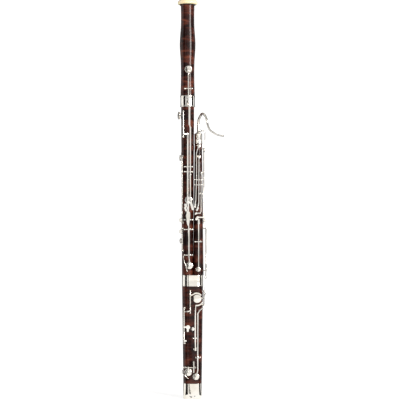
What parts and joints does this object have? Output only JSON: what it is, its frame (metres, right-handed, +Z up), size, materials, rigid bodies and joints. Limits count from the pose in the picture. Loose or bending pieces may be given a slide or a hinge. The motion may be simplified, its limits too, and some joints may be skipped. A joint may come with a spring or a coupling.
{
  "type": "bassoon",
  "caption": "Four-part wooden bassoon with bell ring, oval boot, bent metal mouthpipe and thumb and finger keywork on ball posts.",
  "frame": {"origin": "centre of the boot cap's flat bottom", "axes": "+Z up the instrument, -Y the thumb side, +X towards the wing joint"},
  "size_m": [0.1549, 0.1836, 1.346],
  "materials": {
    "maple": "gloss lacquer",
    "ivory": "gloss",
    "silver_plate": "polished",
    "hard_rubber": "satin",
    "cork": "matt",
    "pad_leather": "matt",
    "blued_steel": "satin",
    "steel": "satin",
    "brass": "satin"
  },
  "bodies": {
    "instrument": {"bell_body": "maple", "bell_ring": "ivory", "bell_ferrule": "silver_plate", "long_joint_body": "maple", "long_joint_corks": "cork", "wing_joint_body": "maple", "wing_liner": "hard_rubber", "wing_ferrule": "silver_plate", "wing_cork": "cork", "boot_body": "maple", "boot_ferrule": "silver_plate", "u_tube": "brass", "u_tube_plate": "brass", "u_tube_gasket": "cork", "u_tube_nuts": "brass", "long_posts": "silver_plate", "wing_posts": "silver_plate", "boot_posts": "silver_plate", "hinge_steels": "steel", "flat_springs": "blued_steel", "joint_lock": "silver_plate", "finger_tubes": "silver_plate", "hand_rest_socket": "silver_plate", "key_guards": "silver_plate", "strap_bracket": "silver_plate"},
    "low_bell_key": {"bell_key": "silver_plate", "bell_pad": "pad_leather"},
    "bflat_lever": {"bflat_lever": "silver_plate"},
    "low_b_key": {"low_b_key": "silver_plate", "low_b_pad": "pad_leather"},
    "low_b_lever": {"low_b_lever": "silver_plate"},
    "low_c_key": {"low_c_key": "silver_plate", "low_c_pad": "pad_leather"},
    "low_d_lever": {"low_d_lever": "silver_plate"},
    "low_d_key": {"low_d_key": "silver_plate", "low_d_pad": "pad_leather"},
    "low_csharp_key": {"low_csharp_key": "silver_plate"},
    "low_eflat_key": {"low_eflat_key": "silver_plate"},
    "high_d_key": {"high_d_key": "silver_plate"},
    "high_c_key": {"high_c_key": "silver_plate"},
    "high_a_key": {"high_a_key": "silver_plate"},
    "whisper_key": {"whisper_key": "silver_plate"},
    "wing_csharp_key": {"wing_csharp_key": "silver_plate"},
    "whisper_lock": {"whisper_lock": "silver_plate"},
    "pancake_key": {"pancake_key": "silver_plate"},
    "thumb_bflat_key": {"thumb_bflat_key": "silver_plate"},
    "bflat_vent_key": {"bflat_vent_key": "silver_plate"},
    "fsharp_key": {"fsharp_key": "silver_plate"},
    "gsharp_key": {"gsharp_key": "silver_plate"},
    "low_f_key": {"low_f_key": "silver_plate"},
    "front_f_key": {"front_f_key": "silver_plate"},
    "front_g_key": {"front_g_key": "silver_plate"},
    "front_aflat_key": {"front_aflat_key": "silver_plate"},
    "trill_key": {"trill_key": "silver_plate"},
    "cap": {"boot_cap": "silver_plate", "cap_screws": "steel"},
    "strap_ring": {"strap_ring": "silver_plate"},
    "bocal": {"bocal_tube": "silver_plate", "bocal_cork": "cork", "bocal_nib": "silver_plate"}
  },
  "joints": [
    {"name": "bflat_lever_rock", "type": "hinge", "parent": "instrument", "child": "bflat_lever", "pos_m": [0, -0.0295, 0.7815], "axis": [1, 0, 0], "range_deg": [0, 1.4], "stiffness_Nm_per_rad": 0.06, "springref_deg": -20.05},
    {"name": "low_bell_key_rock", "type": "hinge", "parent": "instrument", "child": "low_bell_key", "pos_m": [0, -0.031, 1.044], "axis": [1, 0, 0], "range_deg": [-7, 0], "stiffness_Nm_per_rad": 0.06, "springref_deg": 20.05},
    {"name": "low_b_lever_rock", "type": "hinge", "parent": "instrument", "child": "low_b_lever", "pos_m": [0, -0.0295, 0.765], "axis": [1, 0, 0], "range_deg": [0, 1.2], "stiffness_Nm_per_rad": 0.06, "springref_deg": -20.05},
    {"name": "low_b_key_swing", "type": "hinge", "parent": "instrument", "child": "low_b_key", "pos_m": [-0.0306, -0.0228, 0.925], "axis": [0, 0, 1], "range_deg": [-10, 0], "stiffness_Nm_per_rad": 0.06, "springref_deg": 20.05},
    {"name": "low_c_key_rock", "type": "hinge", "parent": "instrument", "child": "low_c_key", "pos_m": [0, -0.0265, 0.604], "axis": [1, 0, 0], "range_deg": [-2.5, 0], "stiffness_Nm_per_rad": 0.06, "springref_deg": 20.05},
    {"name": "low_d_lever_rock", "type": "hinge", "parent": "instrument", "child": "low_d_lever", "pos_m": [0, -0.0265, 0.571], "axis": [1, 0, 0], "range_deg": [-3.2, 0], "stiffness_Nm_per_rad": 0.06, "springref_deg": 20.05},
    {"name": "low_d_key_rock", "type": "hinge", "parent": "instrument", "child": "low_d_key", "pos_m": [0, -0.0265, 0.485], "axis": [1, 0, 0], "range_deg": [0, 5.4], "stiffness_Nm_per_rad": 0.06, "springref_deg": -20.05},
    {"name": "low_csharp_key_swing", "type": "hinge", "parent": "instrument", "child": "low_csharp_key", "pos_m": [-0.0348, -0.0178, 0.7], "axis": [0, 0, 1], "range_deg": [0, 8], "stiffness_Nm_per_rad": 0.06, "springref_deg": -20.05},
    {"name": "low_eflat_key_swing", "type": "hinge", "parent": "instrument", "child": "low_eflat_key", "pos_m": [-0.0348, -0.0178, 0.528], "axis": [0, 0, 1], "range_deg": [0, 8], "stiffness_Nm_per_rad": 0.06, "springref_deg": -20.05},
    {"name": "high_d_key_rock", "type": "hinge", "parent": "instrument", "child": "high_d_key", "pos_m": [0, -0.0196, 0.738], "axis": [1, 0, 0], "range_deg": [0, 2.5], "stiffness_Nm_per_rad": 0.06, "springref_deg": -20.05},
    {"name": "high_c_key_rock", "type": "hinge", "parent": "instrument", "child": "high_c_key", "pos_m": [0, -0.0196, 0.721], "axis": [1, 0, 0], "range_deg": [0, 2.5], "stiffness_Nm_per_rad": 0.06, "springref_deg": -20.05},
    {"name": "high_a_key_rock", "type": "hinge", "parent": "instrument", "child": "high_a_key", "pos_m": [0, -0.0196, 0.691], "axis": [1, 0, 0], "range_deg": [0, 2.5], "stiffness_Nm_per_rad": 0.06, "springref_deg": -20.05},
    {"name": "whisper_key_swing", "type": "hinge", "parent": "instrument", "child": "whisper_key", "pos_m": [0.038, -0.006, 0.72], "axis": [0, 0, 1], "range_deg": [-8, 0], "stiffness_Nm_per_rad": 0.06, "springref_deg": 20.05},
    {"name": "wing_csharp_key_rock", "type": "hinge", "parent": "instrument", "child": "wing_csharp_key", "pos_m": [0, -0.023, 0.53], "axis": [1, 0, 0], "range_deg": [-2.5, 0], "stiffness_Nm_per_rad": 0.06, "springref_deg": 20.05},
    {"name": "whisper_lock_swing", "type": "hinge", "parent": "instrument", "child": "whisper_lock", "pos_m": [0.0456, -0.009, 0.5], "axis": [0, 0, 1], "range_deg": [0, 6], "stiffness_Nm_per_rad": 0.06, "springref_deg": -20.05},
    {"name": "pancake_key_swing", "type": "hinge", "parent": "instrument", "child": "pancake_key", "pos_m": [0.0384, -0.01, 0.34], "axis": [0, 0, 1], "range_deg": [-6, 0], "stiffness_Nm_per_rad": 0.06, "springref_deg": 20.05},
    {"name": "thumb_bflat_key_swing", "type": "hinge", "parent": "instrument", "child": "thumb_bflat_key", "pos_m": [-0.007, -0.03, 0.328], "axis": [0, 0, 1], "range_deg": [0, 6], "stiffness_Nm_per_rad": 0.06, "springref_deg": -20.05},
    {"name": "bflat_vent_key_swing", "type": "hinge", "parent": "instrument", "child": "bflat_vent_key", "pos_m": [-0.0284, -0.0237, 0.248], "axis": [0, 0, 1], "range_deg": [-14, 0], "stiffness_Nm_per_rad": 0.06, "springref_deg": 20.05},
    {"name": "fsharp_key_rock", "type": "hinge", "parent": "instrument", "child": "fsharp_key", "pos_m": [0, -0.0285, 0.206], "axis": [1, 0, 0], "range_deg": [-2.2, 0], "stiffness_Nm_per_rad": 0.06, "springref_deg": 20.05},
    {"name": "gsharp_key_rock", "type": "hinge", "parent": "instrument", "child": "gsharp_key", "pos_m": [0, -0.0285, 0.141], "axis": [1, 0, 0], "range_deg": [-1.6, 0], "stiffness_Nm_per_rad": 0.06, "springref_deg": 20.05},
    {"name": "low_f_key_rock", "type": "hinge", "parent": "instrument", "child": "low_f_key", "pos_m": [0, -0.0275, 0.1075], "axis": [1, 0, 0], "range_deg": [0, 9], "stiffness_Nm_per_rad": 0.06, "springref_deg": -20.05},
    {"name": "front_f_key_swing", "type": "hinge", "parent": "instrument", "child": "front_f_key", "pos_m": [-0.025, 0.0236, 0.18], "axis": [0, 0, 1], "range_deg": [-6, 0], "stiffness_Nm_per_rad": 0.06, "springref_deg": 20.05},
    {"name": "front_g_key_swing", "type": "hinge", "parent": "instrument", "child": "front_g_key", "pos_m": [0.03, 0.0205, 0.28], "axis": [0, 0, 1], "range_deg": [0, 6], "stiffness_Nm_per_rad": 0.06, "springref_deg": -20.05},
    {"name": "front_aflat_key_rock", "type": "hinge", "parent": "instrument", "child": "front_aflat_key", "pos_m": [0, 0.03, 0.19], "axis": [1, 0, 0], "range_deg": [0, 8], "stiffness_Nm_per_rad": 0.06, "springref_deg": -20.05},
    {"name": "trill_key_rock", "type": "hinge", "parent": "instrument", "child": "trill_key", "pos_m": [0, 0.029, 0.72], "axis": [1, 0, 0], "range_deg": [-3, 0], "stiffness_Nm_per_rad": 0.06, "springref_deg": 20.05},
    {"name": "strap_ring_swing", "type": "hinge", "parent": "instrument", "child": "strap_ring", "pos_m": [0, 0.0279, 0.403], "axis": [1, 0, 0], "range_deg": [0, 60]},
    {"name": "bocal_swivel", "type": "hinge", "parent": "instrument", "child": "bocal", "pos_m": [0.0195, 0, 0.88], "axis": [0, 0, 1], "range_deg": [-25, 25]},
    {"name": "cap_pull", "type": "slide", "parent": "instrument", "child": "cap", "axis": [0, 0, -1], "range_m": [0, 0.055]}
  ],
  "couplings": [
    {"joint": "low_bell_key_rock", "follows": "bflat_lever_rock", "ratio": -5},
    {"joint": "low_b_key_swing", "follows": "low_b_lever_rock", "ratio": -8.3},
    {"joint": "low_d_key_rock", "follows": "low_d_lever_rock", "ratio": -1.6875},
    {"joint": "bflat_vent_key_swing", "follows": "thumb_bflat_key_swing", "ratio": -2.333},
    {"joint": "whisper_lock_swing", "follows": "pancake_key_swing", "ratio": -1},
    {"joint": "whisper_key_swing", "follows": "pancake_key_swing", "ratio": 1.3333},
    {"joint": "low_f_key_rock", "follows": "front_f_key_swing", "ratio": -1.5}
  ]
}
